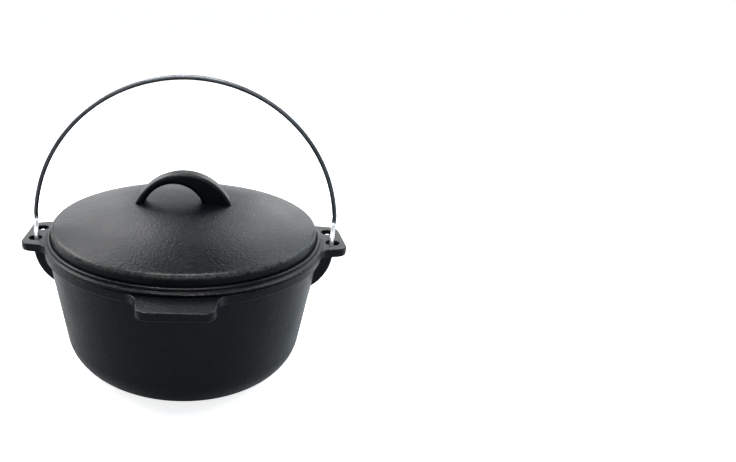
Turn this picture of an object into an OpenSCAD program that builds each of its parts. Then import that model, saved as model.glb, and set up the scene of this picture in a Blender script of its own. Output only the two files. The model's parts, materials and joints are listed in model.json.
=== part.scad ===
// Camp dutch oven: cast pot with two eared sides and a front tab, domed lid, wire bail.
// The pot stands on z = 0 around the z axis, the tab points to -y, the ears to -x and +x.

/* [Pot] */
// Outer diameter of the rim band
rim_d = 264; // [240:1:300]
// Height from the base to the top of the rim
pot_h = 127.5; // [105:0.5:160]
// Thickness of the rim band, the ears and the tab
rim_t = 8; // [6:0.5:10]
// How far the rim band stands out from the wall below it
band_step = 3.2; // [2:0.1:5]
// Lean of the side wall away from vertical
wall_lean = 7.3; // [3:0.1:9]
// Thickness of the side wall
wall_t = 4; // [3:0.1:6]
// Thickness of the floor
floor_t = 5; // [3:0.1:9]
// Outer round between the wall and the base
heel_r = 37; // [20:1:45]
// Inner round between the wall and the floor
inner_heel_r = 32; // [15:1:40]
// Round along the edges of the rim, the ears and the tab
edge_r = 1.5; // [0.6:0.1:2.5]

/* [Tab] */
// Reach of the tab beyond the rim
tab_out = 24; // [14:0.5:30]
// Width of the tab at its front edge
tab_w = 59; // [45:1:80]
// Lean of the sides of the tab
tab_lean = 9; // [2:1:15]
// Round of the front corners of the tab
tab_corner_r = 9.5; // [5:0.5:12]
// Hollow round where the tab grows out of the rim
tab_root_r = 15; // [6:0.5:20]

/* [Ears] */
// Reach of an ear beyond the rim
ear_out = 20.5; // [17:0.5:28]
// Length of an ear at its outer edge
ear_l = 56; // [50:1:70]
// Lean of the ends of an ear
ear_lean = 10; // [4:1:15]
// Round of the outer corners of an ear
ear_corner_r = 11; // [5:0.5:14]
// Hollow round where an ear grows out of the rim
ear_root_r = 10; // [5:0.5:16]
// Diameter of the bail holes
hole_d = 12; // [11:0.5:14]
// Distance between the two holes of an ear
hole_gap = 26.5; // [25:0.5:30]
// Distance of the holes from the outside of the rim
hole_out = 8.5; // [7.5:0.5:11]
// Round along the edges of the holes
hole_edge_r = 1; // [0.5:0.1:1.5]

/* [Gussets] */
// Thickness of a gusset
gusset_t = 9.5; // [6:0.5:10]
// Reach of a gusset beyond the rim
gusset_out = 6.5; // [4:0.5:12]
// How far a gusset runs down the wall below its ear
gusset_drop = 27; // [18:0.5:36]
// Round of the outer line of a gusset
gusset_r = 41; // [30:1:80]
// Round along the edges of a gusset
gusset_edge_r = 2.5; // [1:0.1:3]

/* [Lid] */
// Gap between the rim and the flange of the lid
lid_gap = 0.3; // [0.2:0.1:0.8]
// Sideways play of the locating ring in the mouth of the pot
lid_play = 1.2; // [0.6:0.1:2.5]
// Depth of the locating ring below the flange
ring_drop = 4.5; // [3:0.5:8]
// Thickness of the locating ring
ring_t = 4.5; // [3.5:0.1:6]
// Width of the flange from its edge to the side of the lid
flange_w = 6.6; // [6:0.1:12]
// Thickness of the flange at its edge
flange_t = 3; // [2:0.1:5]
// Round along the edges of the flange and the locating ring
flange_edge_r = 1.2; // [0.5:0.1:1.5]
// Rise of the flange from its edge to the side of the lid
flange_rise = 2.2; // [0.5:0.1:4]
// Height of the side of the lid above the flange
side_h = 9.6; // [8:0.1:18]
// Lean of the side of the lid
side_lean = 6.5; // [1:0.5:12]
// Rise of the dome above the side
dome_rise = 20; // [12:0.5:30]
// Thickness of the dome
dome_t = 4.5; // [3:0.1:6]
// Round where the side turns into the dome
dome_edge_r = 5; // [2:0.5:7]
// Round inside the lid between the dome and the ring
lid_inner_r = 7; // [3:0.5:12]

/* [Lid handle] */
// Height of the handle above the top of the dome
handle_h = 27; // [22:0.1:40]
// Radius of the outer line of the handle
handle_r = 49; // [40:0.5:60]
// Radius of the finger opening
opening_r = 29; // [24:0.5:36]
// How far the finger opening stands off the middle towards -x
opening_off = 9; // [0:0.5:10]
// Thickness of the handle at its top
grip_t = 10; // [8:0.5:12]
// Width of the handle
handle_w = 17; // [14:0.5:24]
// Round along the outer edges of the handle
handle_edge_r = 3; // [2:0.1:5]
// Round along the edges of the finger opening
opening_edge_r = 3; // [2:0.1:5]

/* [Bail] */
// Diameter of the wire
wire_d = 4.2; // [3.4:0.1:5]
// Height of the bow above the axis it turns on
bail_rise = 147; // [130:1:160]
// Distance of the legs from the outside of the rim
leg_out = 13.5; // [10:0.5:16]
// Distance of the hook eyes from the outside of the rim
eye_out = 7.5; // [6.5:0.1:9]
// Play of a hook eye around the web between the holes
eye_play = 0.9; // [0.6:0.1:1.5]
// Bend radius of the hook eyes, to the middle of the wire
bend_r = 6.5; // [5:0.5:7]
// Bend radius of the knee between a leg and its hook eye
knee_r = 14; // [8:1:30]
// Straight length of wire between the bow and a knee
leg_l = 3; // [1:0.5:12]
// Straight length of wire between a knee and a hook eye
neck_l = 1.5; // [1:0.5:6]
// Straight length of the wire end in the rear hole
tip_l = 6; // [3:0.5:8]
// Outward lean of the wire end
tip_lean = 6; // [0:1:10]

/* [Hidden] */
$fn = 96;

rim_r = rim_d / 2;
band_z = pot_h - rim_t;
turn_z = pot_h - rim_t / 2;

// Outer radius of the wall at height z
function wall_r(z) = rim_r - band_step - (band_z - z) * tan(wall_lean);
// Inner radius of the wall at height z
function bore_r(z) = wall_r(z) - wall_t;

// Distance from the axis to the centre of a round r between the wall and the floor
function heel_x(edge_x, r) = edge_x + r * tan(wall_lean) - r / cos(wall_lean);

// Centre of the hollow round between the rim and the side of a lug
function root_centre(out, half, lean, r) =
    let (d = [cos(lean), -sin(lean)])
    let (a = [rim_r + out, half] + r * [sin(lean), cos(lean)])
    let (k = a * d)
    let (q = rim_r + r - root_dip)
    a + d * (sqrt(k * k - a * a + q * q) - k);

// How deep the hollow root rounds of ears and tab dip into the rim
root_dip = 0.15;
// How far the roots of ears and tab reach into the rim and along their sides
root_grip = 3;
// How far the core of an ear or tab reaches into its front strip, and stays off its side strips
core_in = 1;
core_trim = 0.2;
// How far the block that bounds a gusset reaches into the wall and below the foot of the gusset
gusset_root = 22;
gusset_tail = 12;
// How far hollows are cut past the faces that they open
cut_over = 1;
// How far the core of the lid section reaches in below its dome
seam = 2;

// Lid heights and radii
flange_z = pot_h + lid_gap;
foot_z = flange_z + flange_t + flange_rise;
foot_r = rim_r - flange_w;
side_r = foot_r - side_h * tan(side_lean);
ring_r = bore_r(pot_h - ring_drop) - lid_play;
hollow_r = ring_r - ring_t;
dome_r = (side_r * side_r + dome_rise * dome_rise) / (2 * dome_rise);
dome_z = foot_z + side_h + dome_rise - dome_r;
crown_z = dome_z + dome_r;

// Round between side and dome: its centre touches the side line and the dome from inside
edge_n = [cos(side_lean), sin(side_lean)];
edge_d = [-sin(side_lean), cos(side_lean)];
edge_a = [foot_r, foot_z - dome_z] - dome_edge_r * edge_n;
edge_k = edge_a * edge_d;
edge_q = dome_r - dome_edge_r;
edge_c = edge_a + edge_d * (sqrt(edge_k * edge_k - edge_a * edge_a + edge_q * edge_q) - edge_k);
edge_top = edge_c * dome_r / edge_q;
edge_side = edge_c + dome_edge_r * edge_n;

// Round inside the lid
inner_dome_r = dome_r - dome_t;
inner_x = hollow_r - lid_inner_r;
inner_q = inner_dome_r - lid_inner_r;
inner_c = [inner_x, sqrt(inner_q * inner_q - inner_x * inner_x)];
inner_top = inner_c * inner_dome_r / inner_q;

// Bail: half height of the eye so that it turns clear of the web, then the bow above it
web_w = hole_gap - hole_d;
web_reach = norm([web_w / 2 - hole_edge_r, rim_t / 2 - hole_edge_r]) + hole_edge_r;
eye_h = web_reach + wire_d / 2 + eye_play;
leg_x = rim_r + leg_out;
eye_x = rim_r + eye_out;
eye_turn = atan2(leg_x - eye_x, hole_gap);
eye_top = norm([leg_x - eye_x, hole_gap]);
knee_x = leg_x - knee_r;
knee_h = bail_rise - eye_h - bend_r - neck_l - knee_r;
bow_q = (knee_x * knee_x + knee_h * knee_h - leg_l * leg_l) / (2 * knee_h);
bow_r = bow_q + knee_r;
bow_lean = atan2(bow_q - knee_h, knee_x) + atan2(leg_l, bow_q);

// Rounded corners stay this far inside the straight lengths that they run into
overlap = 0.02;
// Length by which a bend runs into the straight wire at both of its ends
bend_run = 0.3;

// Section of a plate edge: w wide, h high, rounded on its far side
module edge_section(w, h, e) {
    square([w - e, h]);
    translate([0, e])
        square([w, h - 2 * e]);
    for (z = [e, h - e])
        translate([w - e, z])
            circle(e);
}

// Disc with a rounded rim
module coin(r, h, e) {
    rotate_extrude()
        edge_section(r, h, e);
}

// Straight plate strip along +x with its rounded edge at y = w
module strip(l, w, h, e) {
    rotate([90, 0, 90])
        linear_extrude(l)
            edge_section(w, h, e);
}

// Space of a round hole with softened mouths through a plate of thickness h
module soft_hole(r, h, e) {
    rotate_extrude()
        difference() {
            translate([0, -cut_over])
                square([r + e, h + 2 * cut_over]);
            translate([r, e])
                square([2 * e, h - 2 * e]);
            for (z = [e, h - e])
                translate([r + e, z])
                    circle(e);
        }
}

// Flat lug growing out of the rim along +x: edge strips, corner coins between them, hollow root rounds
module lug(out, half, lean, corner_r, root_r) {
    side_n = [sin(lean), cos(lean)];
    side_d = [cos(lean), -sin(lean)];
    front_x = rim_r + out - corner_r;
    a = [rim_r + out, half] - corner_r * side_n;
    c = a + side_d * (front_x - a.x) / cos(lean);
    k = root_centre(out, half, lean, root_r);
    side_l = (c - k) * side_d;
    foot = k - (root_r + overlap) * side_n;
    grip = foot + root_grip * side_d;
    rim_foot = k * (rim_r - root_grip) / (rim_r + root_r);
    for (s = [0, 1])
        mirror([0, s, 0]) {
            translate([c.x, c.y, overlap])
                coin(corner_r - overlap, rim_t - 2 * overlap, edge_r);
            translate(c - side_l * side_d)
                rotate(-lean)
                    strip(side_l, corner_r, rim_t, edge_r);
        }
    translate([front_x, c.y, 0])
        rotate(-90)
            strip(2 * c.y, corner_r, rim_t, edge_r);
    linear_extrude(rim_t)
        polygon([
            [rim_r - 2 * root_grip, root_grip - foot.y],
            [k.x, root_grip - foot.y],
            [c.x + core_in, core_trim - c.y],
            [c.x + core_in, c.y - core_trim],
            [k.x, foot.y - root_grip],
            [rim_r - 2 * root_grip, foot.y - root_grip]
        ]);
    translate([0, 0, overlap])
        difference() {
            linear_extrude(rim_t - 2 * overlap)
                polygon([
                    [grip.x, -grip.y],
                    grip,
                    foot,
                    k,
                    rim_foot,
                    [rim_foot.x, -rim_foot.y],
                    [k.x, -k.y],
                    [foot.x, -foot.y]
                ]);
            for (s = [0, 1])
                mirror([0, s, 0])
                    translate(k)
                        soft_hole(root_r + overlap, rim_t - 2 * overlap, edge_r);
        }
}

// Outer half section of the pot
module pot_outline() {
    base_x = heel_x(wall_r(0), heel_r);
    translate([base_x, heel_r])
        circle(heel_r);
    polygon([
        [0, 0],
        [base_x, 0],
        [base_x, heel_r],
        [base_x + heel_r * cos(wall_lean), heel_r * (1 - sin(wall_lean))],
        [wall_r(band_z), band_z],
        [wall_r(band_z), pot_h],
        [0, pot_h]
    ]);
    translate([0, band_z])
        edge_section(rim_r, rim_t, edge_r);
}

// Half section of the space inside the pot
module pot_space() {
    floor_x = heel_x(bore_r(floor_t), inner_heel_r);
    lip_x = bore_r(pot_h - edge_r) + edge_r / cos(wall_lean);
    round_z = floor_t + inner_heel_r;
    translate([floor_x, round_z])
        circle(inner_heel_r);
    polygon([
        [0, floor_t],
        [floor_x, floor_t],
        [floor_x, round_z],
        [floor_x + inner_heel_r * cos(wall_lean), round_z - inner_heel_r * sin(wall_lean)],
        [bore_r(pot_h + cut_over), pot_h + cut_over],
        [0, pot_h + cut_over]
    ]);
    difference() {
        translate([lip_x - edge_r - cut_over, pot_h - edge_r])
            square([edge_r + cut_over, edge_r + cut_over]);
        translate([lip_x, pot_h - edge_r])
            circle(edge_r);
    }
}

// One rounded gusset below an ear, its outer line an arc from the ear down to the wall
module gusset() {
    top = [rim_r + gusset_out, band_z];
    foot = [wall_r(band_z - gusset_drop), band_z - gusset_drop];
    line = top - foot;
    across = [-line.y, line.x] / norm(line);
    centre = (top + foot) / 2 + across * sqrt(gusset_r * gusset_r - line * line / 4);
    end_y = ear_l / 2 + (ear_out - gusset_out) * tan(ear_lean);
    intersection() {
        translate([centre.x, end_y, centre.y])
            rotate([90, 0, 0])
                coin(gusset_r, gusset_t, gusset_edge_r);
        translate([rim_r - gusset_root, 0, band_z - gusset_drop - gusset_tail])
            cube([ear_out + gusset_root, rim_r, gusset_drop + gusset_tail + rim_t / 2]);
    }
}

// Ear on the +x side with its two bail holes and its gussets
module ear() {
    translate([0, 0, band_z])
        difference() {
            lug(ear_out, ear_l / 2, ear_lean, ear_corner_r, ear_root_r);
            for (y = [-1, 1])
                translate([rim_r + hole_out, y * hole_gap / 2, 0])
                    soft_hole(hole_d / 2, rim_t, hole_edge_r);
        }
    gusset();
    mirror([0, 1, 0])
        gusset();
}

module pot() {
    color("DimGray")
        difference() {
            union() {
                rotate_extrude()
                    pot_outline();
                rotate(-90)
                    translate([0, 0, band_z])
                        lug(tab_out, tab_w / 2, tab_lean, tab_corner_r, tab_root_r);
                ear();
                mirror([1, 0, 0])
                    ear();
            }
            rotate_extrude()
                pot_space();
        }
}

// Outer half section of the lid
module lid_outline() {
    e = min(flange_edge_r, flange_t / 2 - overlap);
    intersection() {
        translate([0, dome_z])
            circle(dome_r);
        translate([0, flange_z])
            square([edge_top.x, crown_z - flange_z + cut_over]);
    }
    translate([edge_c.x, edge_c.y + dome_z])
        circle(dome_edge_r);
    polygon([
        [edge_top.x - seam, flange_z],
        [edge_top.x - seam, edge_top.y + dome_z - seam],
        [edge_top.x, edge_top.y + dome_z],
        [edge_c.x, edge_c.y + dome_z],
        [edge_side.x, edge_side.y + dome_z],
        [foot_r, foot_z],
        [rim_r - e, flange_z + flange_t],
        [rim_r - e, flange_z]
    ]);
    translate([0, flange_z])
        edge_section(rim_r, flange_t, e);
    translate([hollow_r - cut_over, flange_z - ring_drop])
        edge_section(ring_t + cut_over, ring_drop + flange_t, e);
}

// Half section of the hollow below the lid
module lid_hollow() {
    low_z = flange_z - ring_drop - cut_over;
    intersection() {
        translate([0, dome_z])
            circle(inner_dome_r);
        translate([0, low_z])
            square([inner_top.x, crown_z - low_z]);
    }
    translate([inner_c.x, inner_c.y + dome_z])
        circle(lid_inner_r);
    polygon([
        [inner_top.x - seam, low_z],
        [inner_top.x - seam, inner_top.y + dome_z - seam],
        [inner_top.x, inner_top.y + dome_z],
        [inner_c.x, inner_c.y + dome_z],
        [hollow_r, inner_c.y + dome_z],
        [hollow_r, low_z]
    ]);
}

// Loop handle along x: rounded barrel with a rounded finger opening, which leaves one leg thicker
module handle() {
    top_z = crown_z + handle_h;
    intersection() {
        difference() {
            translate([0, handle_w / 2, top_z - handle_r])
                rotate([90, 0, 0])
                    coin(handle_r, handle_w, handle_edge_r);
            translate([-opening_off, handle_w / 2, top_z - grip_t - opening_r])
                rotate([90, 0, 0])
                    soft_hole(opening_r, handle_w, opening_edge_r);
        }
        translate([-handle_r, -handle_w, foot_z + side_h])
            cube([2 * handle_r, 2 * handle_w, dome_rise + handle_h + cut_over]);
    }
}

module lid() {
    color("Gray")
        difference() {
            union() {
                rotate_extrude()
                    lid_outline();
                handle();
            }
            rotate_extrude()
                lid_hollow();
        }
}

// Arc of wire around the origin in the xy plane, from angle 0 to angle a
module wire_arc(r, a) {
    run = bend_run * 180 / (PI * r);
    rotate(-run)
        rotate_extrude(angle = a + 2 * run)
            translate([r, 0])
                circle(d = wire_d - 2 * overlap);
}

// Straight wire of length l along +z, then whatever follows it
module feed(l) {
    cylinder(d = wire_d, h = l);
    translate([0, 0, l])
        children();
}

// Wire rolled about its own line, then bent through angle a with radius r
module bend(r, a, roll = 0) {
    rotate([0, 0, roll]) {
        translate([r, 0, 0])
            rotate([90, 0, 180])
                wire_arc(r, a);
        translate([r * (1 - cos(a)), 0, r * sin(a)])
            rotate([0, a, 0])
                children();
    }
}

// One end of the bail from the bow down: leg, knee, over the ear, down the front hole,
// back below the web and up into the rear hole
module bail_end() {
    translate([bow_r * cos(bow_lean), 0, bow_r * sin(bow_lean)])
        rotate([0, 180 - bow_lean, 0])
            feed(leg_l)
                bend(knee_r, bow_lean)
                    feed(neck_l)
                        bend(bend_r, 90, eye_turn - 90)
                            feed(eye_top - 2 * bend_r)
                                bend(bend_r, 90, 180)
                                    feed(2 * (eye_h - bend_r))
                                        bend(bend_r, 90, -eye_turn)
                                            feed(hole_gap - 2 * bend_r)
                                                bend(bend_r, 90, tip_lean)
                                                    feed(tip_l);
}

module bail() {
    color("LightGray")
        translate([0, hole_gap / 2, turn_z + bail_rise - bow_r]) {
            rotate([90, 0, 0])
                rotate(bow_lean)
                    wire_arc(bow_r, 180 - 2 * bow_lean);
            bail_end();
            mirror([1, 0, 0])
                bail_end();
        }
}

pot();
lid();
bail();
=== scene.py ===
import json
import math

import bpy
from mathutils import Matrix, Vector


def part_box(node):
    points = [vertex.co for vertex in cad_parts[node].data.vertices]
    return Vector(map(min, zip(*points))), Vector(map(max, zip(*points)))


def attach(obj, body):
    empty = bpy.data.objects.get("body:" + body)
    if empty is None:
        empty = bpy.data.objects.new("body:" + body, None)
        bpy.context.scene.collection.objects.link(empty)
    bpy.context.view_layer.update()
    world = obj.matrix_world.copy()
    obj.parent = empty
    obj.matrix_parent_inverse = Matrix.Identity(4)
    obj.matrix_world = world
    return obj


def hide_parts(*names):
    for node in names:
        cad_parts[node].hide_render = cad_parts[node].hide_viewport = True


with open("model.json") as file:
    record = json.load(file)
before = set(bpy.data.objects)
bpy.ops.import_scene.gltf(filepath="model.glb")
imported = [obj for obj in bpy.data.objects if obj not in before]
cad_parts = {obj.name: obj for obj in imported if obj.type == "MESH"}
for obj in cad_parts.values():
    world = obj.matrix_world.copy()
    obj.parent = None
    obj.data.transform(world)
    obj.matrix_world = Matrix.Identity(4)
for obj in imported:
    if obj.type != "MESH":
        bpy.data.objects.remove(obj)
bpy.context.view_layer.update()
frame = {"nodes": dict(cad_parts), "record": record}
pot = frame["nodes"]["pot"]
lid = frame["nodes"]["lid"]
joints = {joint["name"]: joint for joint in frame["record"]["behaviour"]["joints"]}

# Places on the castings, in metres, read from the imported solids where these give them.
POT_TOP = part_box("pot")[1][2]
RIM_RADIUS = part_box("lid")[1][0]
MOUTH_RADIUS = 0.1265
FLANGE_EDGE_HEIGHT = 0.1305
DOME_EDGE_RADIUS = 0.1236
DOME_EDGE_HEIGHT = 0.1417
TURN_HEIGHT = joints["bail_swing"]["pos_m"][2]

# The bail's wire, on the same lines as its solid.
WIRE_DIAMETER = 0.0042
HOLE_SPACING = 0.0265
EYE_HALF_HEIGHT = 0.010933
EYE_X = 0.1395
LEG_X = 0.1455
BEND_RADIUS = 0.0065
KNEE_RADIUS = 0.014
NECK_LENGTH = 0.0015
LEG_LENGTH = 0.003
TIP_LENGTH = 0.006
TIP_LEAN = math.radians(6)
BAIL_RISE = 0.147
BOW_STEPS = 96
BEND_STEPS = 14
WIRE_SIDES = 24

# The rounded bead round the lid's foot.
BEAD_RADIUS = 0.1273
BEAD_WIDTH = 0.0038
BEAD_HEIGHT = 0.0042
BEAD_CORNER = 0.0016
BEAD_CENTRE = 0.1320
BEAD_STEPS = 256
BEAD_CORNER_STEPS = 6

# Spacing of the nodes in an open tree.
COLUMN_STEP = 220
ROW_STEP = 180

# Sockets of the colour mix node, whose names repeat for each data type.
MIX_FIRST = 6
MIX_SECOND = 7
MIX_RESULT = 2


# Helpers for node trees.
def feed(tree, socket, value):
    """Links another node's output to an input socket, or sets a constant on it."""
    if isinstance(value, bpy.types.NodeSocket):
        tree.links.new(value, socket)
    else:
        socket.default_value = value


def add(tree, kind, inputs=None, **properties):
    """A new node with its properties set and its named inputs fed."""
    node = tree.nodes.new(kind)
    for key, value in properties.items():
        setattr(node, key, value)
    for label, value in (inputs or {}).items():
        feed(tree, node.inputs[label], value)
    return node


def add_sockets(tree, in_out, sockets):
    for label, kind in sockets.items():
        tree.interface.new_socket(label, in_out=in_out, socket_type="NodeSocket" + kind)


def arrange(tree):
    """Sets the nodes in columns, each to the left of what it feeds."""
    columns = {}

    def column(node):
        if node.name not in columns:
            fed = [edge.to_node for socket in node.outputs for edge in socket.links]
            columns[node.name] = 1 + max((column(other) for other in fed), default=-1)
        return columns[node.name]

    rows = {}
    for node in tree.nodes:
        place = column(node)
        rows[place] = rows.get(place, 0) + 1
        node.location = (-COLUMN_STEP * place, -ROW_STEP * rows[place])


def shader_group(name, inputs, outputs):
    """A shader node group with its given values and its results."""
    tree = bpy.data.node_groups.new(name, "ShaderNodeTree")
    add_sockets(tree, "INPUT", inputs)
    add_sockets(tree, "OUTPUT", outputs)
    return tree, add(tree, "NodeGroupInput").outputs, add(tree, "NodeGroupOutput").inputs


def noise(tree, vector, scale, detail, rough=0.55):
    inputs = {"Vector": vector, "Scale": scale, "Detail": detail, "Roughness": rough}
    return add(tree, "ShaderNodeTexNoise", inputs).outputs["Fac"]


def remap(tree, value, low, high, to_low=0.0, to_high=1.0, smooth=False):
    inputs = {"Value": value, "From Min": low, "From Max": high, "To Min": to_low, "To Max": to_high}
    curve = "SMOOTHSTEP" if smooth else "LINEAR"
    return add(tree, "ShaderNodeMapRange", inputs, interpolation_type=curve).outputs["Result"]


def maths(tree, operation, *values):
    node = add(tree, "ShaderNodeMath", operation=operation)
    for socket, value in zip(node.inputs, values):
        feed(tree, socket, value)
    return node.outputs["Value"]


def blend_colour(tree, factor, dark, pale):
    node = add(tree, "ShaderNodeMix", {"Factor": factor}, data_type="RGBA")
    feed(tree, node.inputs[MIX_FIRST], dark)
    feed(tree, node.inputs[MIX_SECOND], pale)
    return node.outputs[MIX_RESULT]


def split_axes(tree, vector):
    return add(tree, "ShaderNodeSeparateXYZ", {"Vector": vector}).outputs


# The sand-cast skin: close grain, broad mottle and small pits, shared by iron and wire.
COARSE_RATIO = 0.38
MOTTLE_SCALE = 38.0
PIT_SCALE = 260.0
PIT_SPAN = (0.05, 0.22)
MOTTLE_SPAN = (0.3, 0.7)
SPECK_SPAN = (0.58, 0.78)
FINE_WEIGHT = 0.8
COARSE_WEIGHT = 0.3
PIT_WEIGHT = 0.25


def cast_grain_group():
    """Height of the skin, its broad mottle, and the specks on its highest grains."""
    tree, given, out = shader_group(
        "cast_grain",
        {"Vector": "Vector", "Grain Scale": "Float"},
        {"Height": "Float", "Mottle": "Float", "Speck": "Float"},
    )
    vector = given["Vector"]
    fine = noise(tree, vector, given["Grain Scale"], detail=2.0, rough=0.6)
    coarse_scale = maths(tree, "MULTIPLY", given["Grain Scale"], COARSE_RATIO)
    coarse = noise(tree, vector, coarse_scale, detail=2.0, rough=0.5)
    mottle = noise(tree, vector, MOTTLE_SCALE, detail=4.0, rough=0.6)
    cells = add(tree, "ShaderNodeTexVoronoi", {"Vector": vector, "Scale": PIT_SCALE}, feature="F1")
    pit = remap(tree, cells.outputs["Distance"], *PIT_SPAN, smooth=True)
    height = maths(tree, "MULTIPLY", fine, FINE_WEIGHT)
    for layer, weight in ((coarse, COARSE_WEIGHT), (pit, PIT_WEIGHT)):
        height = maths(tree, "ADD", height, maths(tree, "MULTIPLY", layer, weight))
    feed(tree, out["Height"], height)
    feed(tree, out["Mottle"], remap(tree, mottle, *MOTTLE_SPAN))
    feed(tree, out["Speck"], remap(tree, fine, *SPECK_SPAN, smooth=True))
    arrange(tree)
    return tree


def ring_place_group():
    """How near a point is to a level ring round the vertical axis, from 0 to 1."""
    tree, given, out = shader_group(
        "ring_place",
        {"Vector": "Vector", "Radius": "Float", "Height": "Float", "Reach": "Float"},
        {"Near": "Float"},
    )
    axes = split_axes(tree, given["Vector"])
    squares = [maths(tree, "MULTIPLY", axes[name], axes[name]) for name in ("X", "Y")]
    radius = maths(tree, "SQRT", maths(tree, "ADD", *squares))
    across = maths(tree, "ABSOLUTE", maths(tree, "SUBTRACT", radius, given["Radius"]))
    along = maths(tree, "ABSOLUTE", maths(tree, "SUBTRACT", axes["Z"], given["Height"]))
    far = maths(tree, "MAXIMUM", across, along)
    feed(tree, out["Near"], remap(tree, far, given["Reach"], 0.0, smooth=True))
    arrange(tree)
    return tree


CAST_GRAIN = cast_grain_group()
RING_PLACE = ring_place_group()


def material(name):
    """A new material with its tree, its shader and the object's coordinates."""
    mat = bpy.data.materials.new(name)
    mat.use_nodes = True
    tree = mat.node_tree
    return mat, tree, tree.nodes["Principled BSDF"], add(tree, "ShaderNodeTexCoord").outputs["Object"]


def bump(tree, shader, height, strength, depth):
    node = add(tree, "ShaderNodeBump", {"Height": height, "Strength": strength, "Distance": depth})
    feed(tree, shader.inputs["Normal"], node.outputs["Normal"])


# Seasoned iron: specks of thinner seasoning, and rings where it is rubbed paler; the ring at the dome's
# edge is also a painted highlight.
SPECK_SHINE = 0.1
SPECK_SHARE = 0.35
SPECK_TINT = (0.014, 0.015, 0.0165, 1.0)
WEAR_AND_HIGHLIGHT_SPAN = (0.6, 1.0)
WEAR_AND_HIGHLIGHT_WARMTH = (1.0, 0.97, 0.94)
GRAIN_STRENGTH = 0.7
GRAIN_DEPTH = 0.0006
IRON_GRAIN_SCALE = 480.0


def iron_material(name, dark, pale, gloss, shine, wear_and_highlight_rings):
    """Iron with gloss as its (smooth, dull) roughness and shine as its specular level.

    The rings argument lists the rubbed rings, each with its radius, height, reach and tone; the dome's
    edge ring is also a painted highlight.
    """
    mat, tree, shader, vector = material(name)
    skin = {"Vector": vector, "Grain Scale": IRON_GRAIN_SCALE}
    grain = add(tree, "ShaderNodeGroup", skin, node_tree=CAST_GRAIN).outputs
    colour = blend_colour(tree, grain["Mottle"], dark, pale)
    for radius, height, reach, tone in wear_and_highlight_rings:
        ring = {"Vector": vector, "Radius": radius, "Height": height, "Reach": reach}
        near = add(tree, "ShaderNodeGroup", ring, node_tree=RING_PLACE).outputs["Near"]
        # Paler where rubbed; on the dome's edge ring this paler colour is also a painted highlight.
        rubbed_and_highlight = maths(tree, "MULTIPLY", near, remap(tree, grain["Height"], *WEAR_AND_HIGHLIGHT_SPAN))
        worn_and_highlight_tone = [tone * share for share in WEAR_AND_HIGHLIGHT_WARMTH]
        colour = blend_colour(tree, rubbed_and_highlight, colour, (*worn_and_highlight_tone, 1.0))
    specks = maths(tree, "MULTIPLY", grain["Speck"], SPECK_SHARE)
    feed(tree, shader.inputs["Base Color"], blend_colour(tree, specks, colour, SPECK_TINT))
    dullness = remap(tree, grain["Mottle"], 0.0, 1.0, *gloss)
    polish = maths(tree, "MULTIPLY", grain["Speck"], SPECK_SHINE)
    feed(tree, shader.inputs["Roughness"], maths(tree, "SUBTRACT", dullness, polish))
    shader.inputs["Specular IOR Level"].default_value = shine
    bump(tree, shader, grain["Height"], GRAIN_STRENGTH, GRAIN_DEPTH)
    arrange(tree)
    return mat


# Zinc plating: bright at the hooks by the ears, and darker along the bow as painted shade.
BRIGHT_RISE = 0.0075
BRIGHT_FADE = 0.009
BRIGHT_TOP = TURN_HEIGHT + BRIGHT_RISE
BRIGHT_TONES = ((0.74, 0.75, 0.76, 1.0), (0.86, 0.865, 0.87, 1.0))
# Dark tones for the bow: painted shade.
BOW_SHADE_TONES = ((0.05, 0.053, 0.06, 1.0), (0.09, 0.094, 0.102, 1.0))
BRIGHT_ROUGHNESS = 0.36
DULL_ROUGHNESS = 0.3
UNEVEN_ROUGHNESS = 0.1
WIRE_GRAIN_SCALE = 1500.0
WIRE_GRAIN_STRENGTH = 0.12
WIRE_GRAIN_DEPTH = 0.0002


def zinc_material():
    mat, tree, shader, vector = material("zinc_wire")
    skin = {"Vector": vector, "Grain Scale": WIRE_GRAIN_SCALE}
    grain = add(tree, "ShaderNodeGroup", skin, node_tree=CAST_GRAIN).outputs
    height = split_axes(tree, vector)["Z"]
    # Painted shade: above the hooks the bow takes the dark tones instead of the bright zinc.
    bow_shade = remap(tree, height, BRIGHT_TOP, BRIGHT_TOP + BRIGHT_FADE, smooth=True)
    bright = blend_colour(tree, grain["Mottle"], *BRIGHT_TONES)
    shaded_bow = blend_colour(tree, grain["Mottle"], *BOW_SHADE_TONES)
    feed(tree, shader.inputs["Base Color"], blend_colour(tree, bow_shade, bright, shaded_bow))
    rough = remap(tree, bow_shade, 0.0, 1.0, BRIGHT_ROUGHNESS, DULL_ROUGHNESS)
    uneven = maths(tree, "MULTIPLY", grain["Mottle"], UNEVEN_ROUGHNESS)
    feed(tree, shader.inputs["Roughness"], maths(tree, "ADD", rough, uneven))
    shader.inputs["Metallic"].default_value = 1.0
    bump(tree, shader, grain["Height"], WIRE_GRAIN_STRENGTH, WIRE_GRAIN_DEPTH)
    arrange(tree)
    return mat


RIM_WEAR = 0.03
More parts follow.
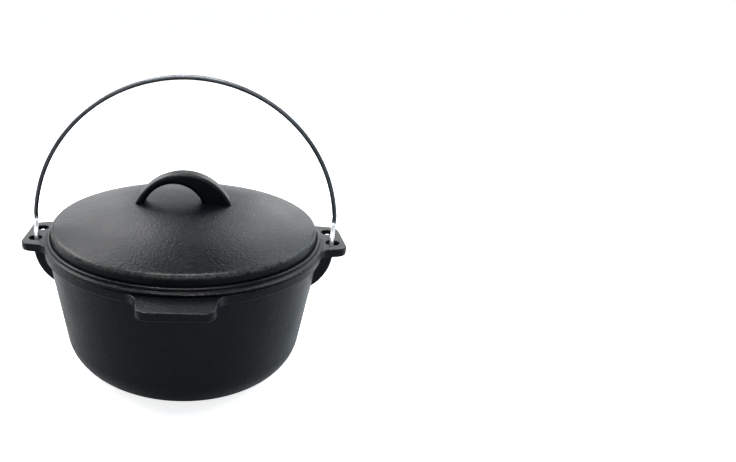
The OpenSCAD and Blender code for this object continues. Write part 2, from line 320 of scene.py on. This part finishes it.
# The dome's edge ring is a pale rubbed edge that also serves as a painted highlight along the rounding.
DOME_EDGE_WEAR_AND_HIGHLIGHT = 0.115
POT_IRON = iron_material(
    "pot_iron",
    dark=(0.0005, 0.0018, 0.0037, 1.0),
    pale=(0.0015, 0.0037, 0.0067, 1.0),
    gloss=(0.3, 0.4),
    shine=0.12,
    wear_and_highlight_rings=[(MOUTH_RADIUS, POT_TOP, 0.0022, RIM_WEAR), (RIM_RADIUS, POT_TOP, 0.0018, RIM_WEAR)],
)
LID_IRON = iron_material(
    "lid_iron",
    dark=(0.0004, 0.0016, 0.0034, 1.0),
    pale=(0.0012, 0.003, 0.0056, 1.0),
    gloss=(0.27, 0.36),
    shine=0.1,
    wear_and_highlight_rings=[
        (RIM_RADIUS, FLANGE_EDGE_HEIGHT, 0.0015, RIM_WEAR),
        # Pale rubbed dome edge, which is also a painted highlight.
        (DOME_EDGE_RADIUS, DOME_EDGE_HEIGHT, 0.0034, DOME_EDGE_WEAR_AND_HIGHLIGHT),
    ],
)
ZINC = zinc_material()


def finish_with(obj, mat):
    obj.data.materials.clear()
    obj.data.materials.append(mat)


finish_with(pot, POT_IRON)
finish_with(lid, LID_IRON)


# Helpers for pieces that are swept along a path by Geometry Nodes.
def geometry_tree(name, sizes):
    """A modifier tree with a named input for each size and for the finish."""
    tree = bpy.data.node_groups.new(name, "GeometryNodeTree")
    tree.is_modifier = True
    add_sockets(tree, "INPUT", {"Geometry": "Geometry", **sizes, "Finish": "Material"})
    add_sockets(tree, "OUTPUT", {"Geometry": "Geometry"})
    return tree, add(tree, "NodeGroupInput").outputs


def rounded(tree, curve, radius, steps):
    inputs = {"Curve": curve, "Radius": radius, "Count": steps, "Limit Radius": True}
    return add(tree, "GeometryNodeFilletCurve", inputs, mode="POLY").outputs["Curve"]


def circle(tree, radius, steps):
    inputs = {"Radius": radius, "Resolution": steps}
    return add(tree, "GeometryNodeCurvePrimitiveCircle", inputs).outputs["Curve"]


def sweep(tree, path, profile, capped):
    inputs = {"Curve": path, "Profile Curve": profile, "Fill Caps": capped}
    return add(tree, "GeometryNodeCurveToMesh", inputs).outputs["Mesh"]


def close_tree(tree, mesh, finish):
    """Ends a tree with smooth shading, real geometry and the finish."""
    smooth = add(tree, "GeometryNodeSetShadeSmooth", {"Geometry": mesh})
    real = add(tree, "GeometryNodeRealizeInstances", {"Geometry": smooth.outputs["Geometry"]})
    painted = {"Geometry": real.outputs["Geometry"], "Material": finish}
    paint = add(tree, "GeometryNodeSetMaterial", painted)
    add(tree, "NodeGroupOutput", {"Geometry": paint.outputs["Geometry"]})
    arrange(tree)


def socket_id(tree, label):
    inputs = (item for item in tree.interface.items_tree if item.in_out == "INPUT")
    return next(item.identifier for item in inputs if item.name == label)


def grown_mesh(name, source, tree, values):
    """The tree's result on a source object as a plain mesh object; the source is then removed."""
    bpy.context.collection.objects.link(source)
    modifier = source.modifiers.new("grow", "NODES")
    modifier.node_group = tree
    for label, value in values.items():
        modifier[socket_id(tree, label)] = value
    bpy.context.view_layer.update()
    graph = bpy.context.evaluated_depsgraph_get()
    mesh = bpy.data.meshes.new_from_object(source.evaluated_get(graph), depsgraph=graph)
    mesh.name = name
    source.modifiers.remove(modifier)
    bpy.data.objects.remove(source)
    made = bpy.data.objects.new(name, mesh)
    finish_with(made, values["Finish"])
    bpy.context.collection.objects.link(made)
    return made


# The bail: one bent wire swept along its corners, each with its own bend radius.
def bail_corners():
    """(point, bend radius) along the wire from the right tip to the left tip."""
    half_gap = HOLE_SPACING / 2
    knee_height = EYE_HALF_HEIGHT + BEND_RADIUS + NECK_LENGTH
    inner = LEG_X - KNEE_RADIUS
    rise = BAIL_RISE - knee_height - KNEE_RADIUS
    leg_reach = (inner ** 2 + rise ** 2 - LEG_LENGTH ** 2) / (2 * rise)
    bow_radius = leg_reach + KNEE_RADIUS
    lean = math.atan2(leg_reach - rise, inner) + math.atan2(LEG_LENGTH, leg_reach)
    corner_rise = KNEE_RADIUS * math.tan(lean / 2)
    tip = BEND_RADIUS + TIP_LENGTH
    tip_x = EYE_X + tip * math.sin(TIP_LEAN)
    tip_height = -EYE_HALF_HEIGHT + tip * math.cos(TIP_LEAN)
    side = [
        ((tip_x, half_gap, tip_height), 0.0),
        ((EYE_X, half_gap, -EYE_HALF_HEIGHT), BEND_RADIUS),
        ((EYE_X, -half_gap, -EYE_HALF_HEIGHT), BEND_RADIUS),
        ((EYE_X, -half_gap, EYE_HALF_HEIGHT), BEND_RADIUS),
        ((LEG_X, half_gap, EYE_HALF_HEIGHT), BEND_RADIUS),
        ((LEG_X, half_gap, knee_height + corner_rise), KNEE_RADIUS),
    ]
    bow_centre = BAIL_RISE - bow_radius
    bow = []
    for step in range(BOW_STEPS + 1):
        angle = lean + (math.pi - 2 * lean) * step / BOW_STEPS
        height = bow_centre + bow_radius * math.sin(angle)
        bow.append(((bow_radius * math.cos(angle), half_gap, height), 0.0))
    other = [((-x, y, z), bend) for (x, y, z), bend in reversed(side)]
    return side + bow + other


def wire_line():
    """The wire's centre line as a curve whose point radius holds the bend radius."""
    data = bpy.data.curves.new("bail_line", "CURVE")
    data.dimensions = "3D"
    corners = bail_corners()
    spline = data.splines.new("POLY")
    spline.points.add(len(corners) - 1)
    for point, ((x, y, z), bend) in zip(spline.points, corners):
        point.co = (x, y, z + TURN_HEIGHT, 1.0)
        point.radius = bend
    return bpy.data.objects.new("bail_line", data)


def wire_tree():
    """Rounds each corner by its own radius and sweeps a round wire along the line."""
    sizes = {"Wire Diameter": "Float", "Bend Steps": "Int", "Wire Sides": "Int"}
    tree, given = geometry_tree("bent_wire", sizes)
    bends = add(tree, "GeometryNodeInputRadius").outputs["Radius"]
    bent = rounded(tree, given["Geometry"], bends, given["Bend Steps"])
    even = add(tree, "GeometryNodeSetCurveRadius", {"Curve": bent, "Radius": 1.0}).outputs["Curve"]
    half = maths(tree, "MULTIPLY", given["Wire Diameter"], 0.5)
    wire = sweep(tree, even, circle(tree, half, given["Wire Sides"]), capped=True)
    close_tree(tree, wire, given["Finish"])
    return tree


bail_wire = grown_mesh(
    "bail_wire", wire_line(), wire_tree(),
    {"Wire Diameter": WIRE_DIAMETER, "Bend Steps": BEND_STEPS, "Wire Sides": WIRE_SIDES, "Finish": ZINC},
)
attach(bail_wire, "bail")
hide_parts("bail")


# The bead round the foot of the lid: a rounded bar swept round a circle.
def ring_tree():
    sizes = {
        "Ring Radius": "Float", "Ring Steps": "Int", "Bar Width": "Float", "Bar Height": "Float",
        "Corner Radius": "Float", "Corner Steps": "Int", "Lift": "Vector",
    }
    tree, given = geometry_tree("swept_ring", sizes)
    path = circle(tree, given["Ring Radius"], given["Ring Steps"])
    section = {"Width": given["Bar Width"], "Height": given["Bar Height"]}
    bar = add(tree, "GeometryNodeCurvePrimitiveQuadrilateral", section).outputs["Curve"]
    profile = rounded(tree, bar, given["Corner Radius"], given["Corner Steps"])
    lifted = {"Geometry": sweep(tree, path, profile, capped=False), "Translation": given["Lift"]}
    move = add(tree, "GeometryNodeTransform", lifted)
    close_tree(tree, move.outputs["Geometry"], given["Finish"])
    return tree


bead_seed = bpy.data.objects.new("bead_seed", bpy.data.meshes.new("bead_seed"))
lid_bead = grown_mesh(
    "lid_bead", bead_seed, ring_tree(),
    {
        "Ring Radius": BEAD_RADIUS, "Ring Steps": BEAD_STEPS, "Bar Width": BEAD_WIDTH,
        "Bar Height": BEAD_HEIGHT, "Corner Radius": BEAD_CORNER, "Corner Steps": BEAD_CORNER_STEPS,
        "Lift": (0.0, 0.0, BEAD_CENTRE), "Finish": LID_IRON,
    },
)
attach(lid_bead, "lid")


# The stage: a pale floor in a white surround, lit by soft panels.
WHITE = (1.0, 1.0, 1.0)
COOL = (0.82, 0.93, 1.0)
FLOOR_SIZE = 60.0
FLOOR_TONES = ((0.86, 0.86, 0.86, 1.0), (0.9, 0.9, 0.9, 1.0))
FLOOR_TONE_SCALE = 3.0
FLOOR_ROUGHNESS = 0.9
FLOOR_SHINE = 0.1
FLOOR_GLOW = 0.05
FLOOR_GLOW_SEEN = 0.8
SURROUND_LIGHT = 0.27
CENTRE = (0.0, 0.0, 0.1)


def floor_material():
    """Matt white that glows more where it is looked at than where it lights the oven."""
    mat, tree, shader, vector = material("pale_floor")
    tone = noise(tree, vector, FLOOR_TONE_SCALE, detail=2.0)
    feed(tree, shader.inputs["Base Color"], blend_colour(tree, tone, *FLOOR_TONES))
    shader.inputs["Roughness"].default_value = FLOOR_ROUGHNESS
    shader.inputs["Specular IOR Level"].default_value = FLOOR_SHINE
    shader.inputs["Emission Color"].default_value = (*WHITE, 1.0)
    seen = add(tree, "ShaderNodeLightPath").outputs["Is Camera Ray"]
    glow = remap(tree, seen, 0.0, 1.0, FLOOR_GLOW, FLOOR_GLOW_SEEN)
    feed(tree, shader.inputs["Emission Strength"], glow)
    arrange(tree)
    return mat


bpy.ops.mesh.primitive_plane_add(size=FLOOR_SIZE)
floor = bpy.context.object
floor.name = "floor"
finish_with(floor, floor_material())


def soft_light(name, place, width, height, power, gloss_only=False, tint=WHITE):
    """A rectangular panel turned to the oven; a gloss-only one shows in reflections alone."""
    data = bpy.data.lights.new(name, "AREA")
    data.shape = "RECTANGLE"
    data.size = width
    data.size_y = height
    data.energy = power
    data.color = tint
    light = bpy.data.objects.new(name, data)
    light.location = place
    light.rotation_euler = (Vector(CENTRE) - Vector(place)).to_track_quat("-Z", "Y").to_euler()
    light.visible_camera = False
    light.visible_diffuse = not gloss_only
    bpy.context.collection.objects.link(light)


soft_light("rear_left", (-0.6, 1.35, 0.9), width=0.7, height=1.2, power=7.0)
soft_light("rear_right", (0.6, 1.35, 0.9), width=0.7, height=1.2, power=8.5)
soft_light("rear_mid", (0.0, 1.5, 1.0), width=0.5, height=1.2, power=1.5)
soft_light("rear_low", (0.0, 1.6, 0.22), width=2.4, height=0.3, power=2.4)
soft_light("left_high", (-0.52, 1.0, 1.2), width=0.6, height=0.4, power=8.0, gloss_only=True)
soft_light("right_high", (0.52, 1.0, 1.2), width=0.6, height=0.4, power=3.0, gloss_only=True)
soft_light("left_edge", (-1.09, 0.34, 1.0), width=0.9, height=0.3, power=13.0, gloss_only=True)
soft_light("right_fill", (1.25, 0.5, 1.0), width=1.2, height=1.2, power=26.0, tint=COOL)
soft_light("left_fill", (-1.25, 0.5, 1.0), width=1.2, height=1.2, power=22.0)
soft_light("front_top", (0.2, -1.45, 1.0), width=2.0, height=1.0, power=20.0, gloss_only=True)
soft_light("overhead", (-0.05, -0.2, 1.5), width=1.1, height=0.22, power=44.0, gloss_only=True)


def studio_world():
    """A plain white surround to look at, which lights the oven dimly and a little cool."""
    world = bpy.data.worlds.new("studio")
    world.use_nodes = True
    tree = world.node_tree
    tree.nodes.clear()
    dim = add(tree, "ShaderNodeBackground", {"Color": (*COOL, 1.0), "Strength": SURROUND_LIGHT})
    white = add(tree, "ShaderNodeBackground", {"Color": (*WHITE, 1.0)})
    seen = add(tree, "ShaderNodeLightPath").outputs["Is Camera Ray"]
    pick = add(tree, "ShaderNodeMixShader", {"Fac": seen})
    for socket, surround in zip(pick.inputs[1:], (dim, white)):
        feed(tree, socket, surround.outputs["Background"])
    add(tree, "ShaderNodeOutputWorld", {"Surface": pick.outputs["Shader"]})
    arrange(tree)
    return world


bpy.context.scene.world = studio_world()

# The camera, fitted to the left-hand view of the photograph (736 x 462 pixels).
FRAME_WIDTH = 736.0
FRAME_HEIGHT = 462.0
FOCAL_PIXELS = 596.04
AXIS_PIXEL = (183.17, 286.78)
ELEVATION = math.radians(26.64)
YAW = math.radians(2.25)
ROLL = math.radians(0.2)
DISTANCE = 0.601
TARGET = Vector((0.0, 0.0, 0.07126))
SENSOR = 36.0
NEAREST = 0.01
FARTHEST = 200.0

level = math.cos(ELEVATION)
forward = Vector((-math.sin(YAW) * level, math.cos(YAW) * level, -math.sin(ELEVATION)))
right = Vector((math.cos(YAW), math.sin(YAW), 0.0))
up = right.cross(forward)
turn = Matrix((right, up, -forward)).transposed() @ Matrix.Rotation(ROLL, 3, "Z")
camera_data = bpy.data.cameras.new("camera")
camera_data.sensor_fit = "HORIZONTAL"
camera_data.sensor_width = SENSOR
camera_data.lens = FOCAL_PIXELS * SENSOR / FRAME_WIDTH
camera_data.shift_x = (FRAME_WIDTH / 2 - AXIS_PIXEL[0]) / FRAME_WIDTH
camera_data.shift_y = (AXIS_PIXEL[1] - FRAME_HEIGHT / 2) / FRAME_WIDTH
camera_data.clip_start = NEAREST
camera_data.clip_end = FARTHEST
camera_data.dof.use_dof = False
camera = bpy.data.objects.new("camera", camera_data)
bpy.context.collection.objects.link(camera)
camera.matrix_world = Matrix.Translation(TARGET - forward * DISTANCE) @ turn.to_4x4()
bpy.context.scene.camera = camera
bpy.context.scene.view_settings.view_transform = "Standard"
